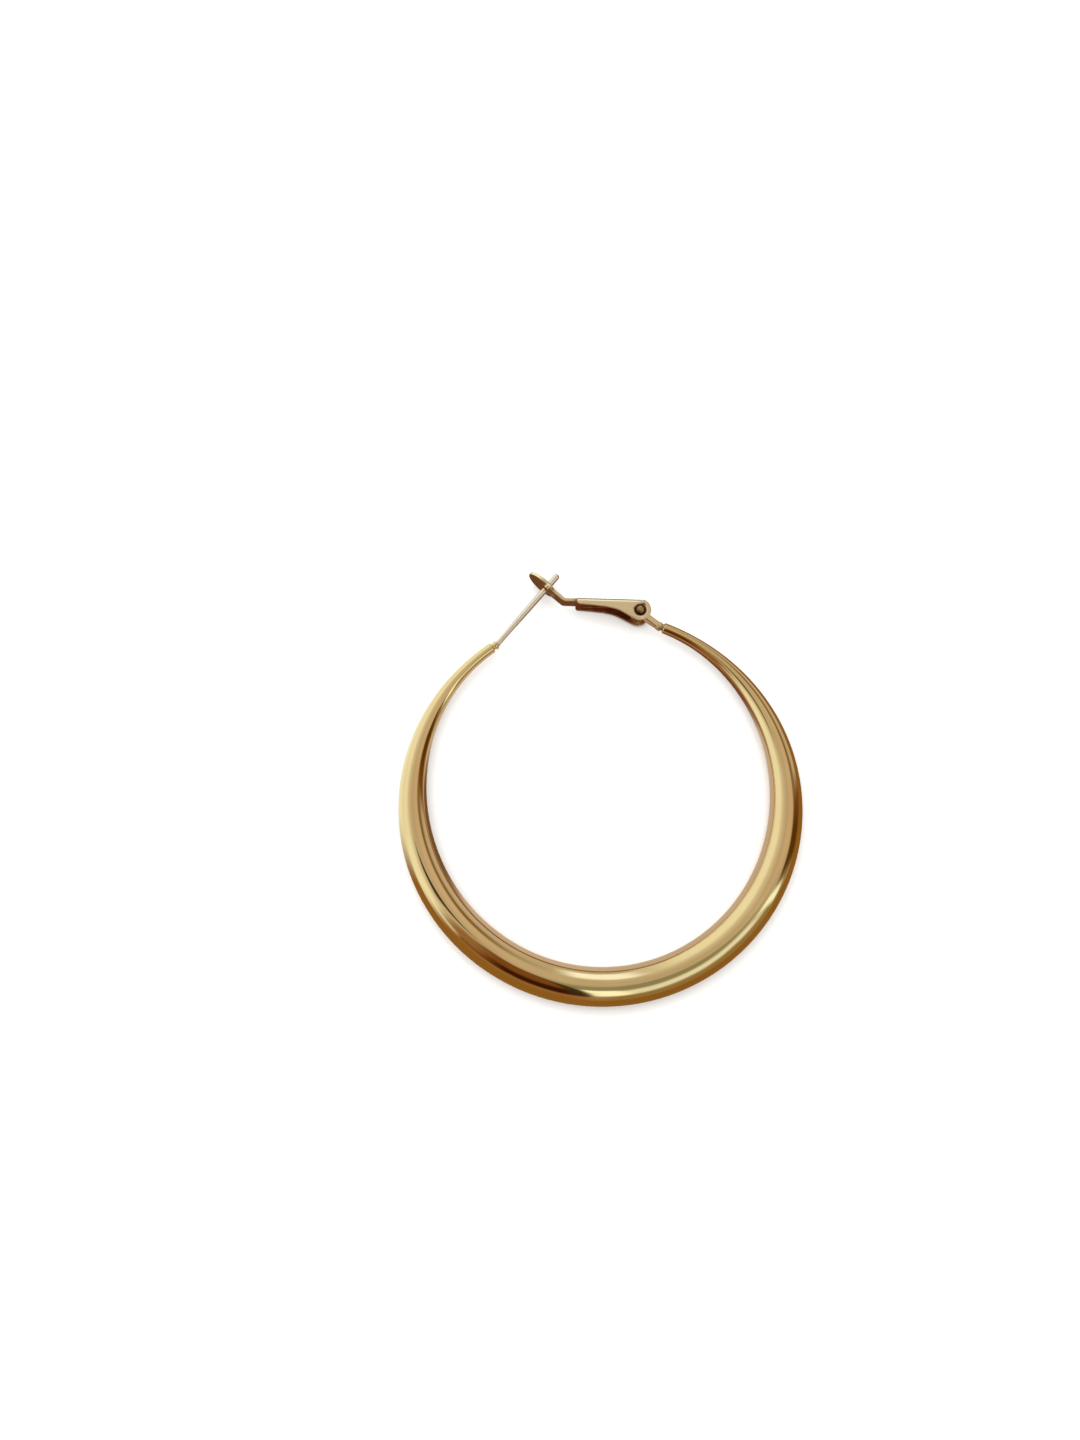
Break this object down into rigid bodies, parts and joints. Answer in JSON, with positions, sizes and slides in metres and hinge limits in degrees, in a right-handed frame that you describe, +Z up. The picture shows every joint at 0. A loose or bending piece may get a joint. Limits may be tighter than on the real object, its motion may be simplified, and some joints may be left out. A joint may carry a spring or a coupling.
{
  "type": "hoop earring",
  "caption": "Round hoop earring of tapered polished tube, open at the top, with an ear post caught by the slotted leaf of a hinged, folded lever.",
  "frame": {"origin": "under the middle of the earring's box, on the surface that it lies on", "axes": "+Z up from that surface, square to the ring; +Y from the ring's thickest point to its opening; +X to the side of the hinge"},
  "size_m": [0.0504, 0.0554, 0.0048],
  "materials": {
    "polished_gold": "polished gold plate",
    "warm_gold": "gold plate, less polished in the joint",
    "pale_gold": "pale champagne gold plate"
  },
  "bodies": {
    "hoop": {"hoop_tube": "polished_gold", "ear_post": "pale_gold", "hinge_lug": "warm_gold", "hinge_pin": "warm_gold"},
    "lever": {"clip_lever": "polished_gold"}
  },
  "joints": [
    {"name": "lever_swing", "type": "hinge", "parent": "hoop", "child": "lever", "pos_m": [0.00815, 0.02091, 0.0024], "axis": [0, 0, -1], "range_deg": [0, 80]}
  ]
}
